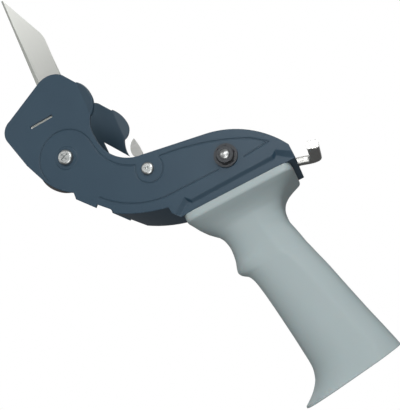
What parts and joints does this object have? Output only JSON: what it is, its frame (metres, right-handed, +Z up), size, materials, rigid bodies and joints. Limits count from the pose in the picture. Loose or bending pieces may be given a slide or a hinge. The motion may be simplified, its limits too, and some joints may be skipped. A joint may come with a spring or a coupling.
{
  "type": "packing tape dispenser",
  "caption": "Hand-held packing tape dispenser: pressed steel channel with ears, rubber roller, toothed blade, wiper leaf, thumb brake lever and a raked pistol grip.",
  "frame": {"origin": "on the tape hub's axis, midway across the channel", "axes": "+X back from the cutting end towards the hand, +Y across the channel away from the full side plate, +Z up along the wiper leaf"},
  "size_m": [0.1748, 0.0734, 0.3241],
  "materials": {
    "slate_paint": "satin powder coat",
    "grip_plastic": "satin moulded",
    "rubber": "dull",
    "black_plastic": "satin",
    "bearing_plastic": "satin",
    "zinc": "bright zinc plate",
    "black_oxide": "black oxide",
    "bare_steel": "drawn bar",
    "leaf_steel": "satin sheet",
    "blade_steel": "ground",
    "spring_steel": "bright",
    "brass": "turned"
  },
  "bodies": {
    "frame": {"frame": "slate_paint", "grip": "grip_plastic", "grip_screws": "zinc", "grip_inserts": "brass", "roller_washers": "zinc", "roller_screw": "zinc", "roller_nut": "zinc", "hub_friction_washer": "rubber", "hub_bolt": "zinc", "hub_flange_nut": "black_oxide", "hub_pressure_washer": "zinc", "hub_spring": "spring_steel", "lever_pin": "zinc", "lever_spacer": "zinc", "lever_clip": "spring_steel", "lever_spring": "spring_steel", "wiper_plate": "leaf_steel", "cutting_blade": "blade_steel", "blade_screws": "zinc", "blade_nuts": "zinc"},
    "roller": {"roller_core": "black_plastic", "roller_sleeve": "rubber", "roller_bushes": "bearing_plastic"},
    "hub": {"tape_hub": "black_plastic", "hub_bushes": "bearing_plastic"},
    "lever": {"brake_lever": "bare_steel", "brake_finger": "leaf_steel", "brake_shoe": "rubber"},
    "knob": {"tension_knob": "black_plastic"}
  },
  "joints": [
    {"name": "roller_spin", "type": "hinge", "parent": "frame", "child": "roller", "pos_m": [-0.091, 0, 0.048], "axis": [0, 1, 0], "continuous": true},
    {"name": "hub_spin", "type": "hinge", "parent": "frame", "child": "hub", "pos_m": [0, 0, 0], "axis": [0, 1, 0], "continuous": true},
    {"name": "brake_lever_lift", "type": "hinge", "parent": "frame", "child": "lever", "pos_m": [-0.0462, 0, 0.016], "axis": [0, -1, 0], "range_deg": [0, 2.8], "stiffness_Nm_per_rad": 0.5, "springref_deg": -11.46},
    {"name": "tension_knob_turn", "type": "hinge", "parent": "frame", "child": "knob", "pos_m": [0, 0.0296, 0], "axis": [0, 1, 0], "range_deg": [-180, 180]}
  ]
}
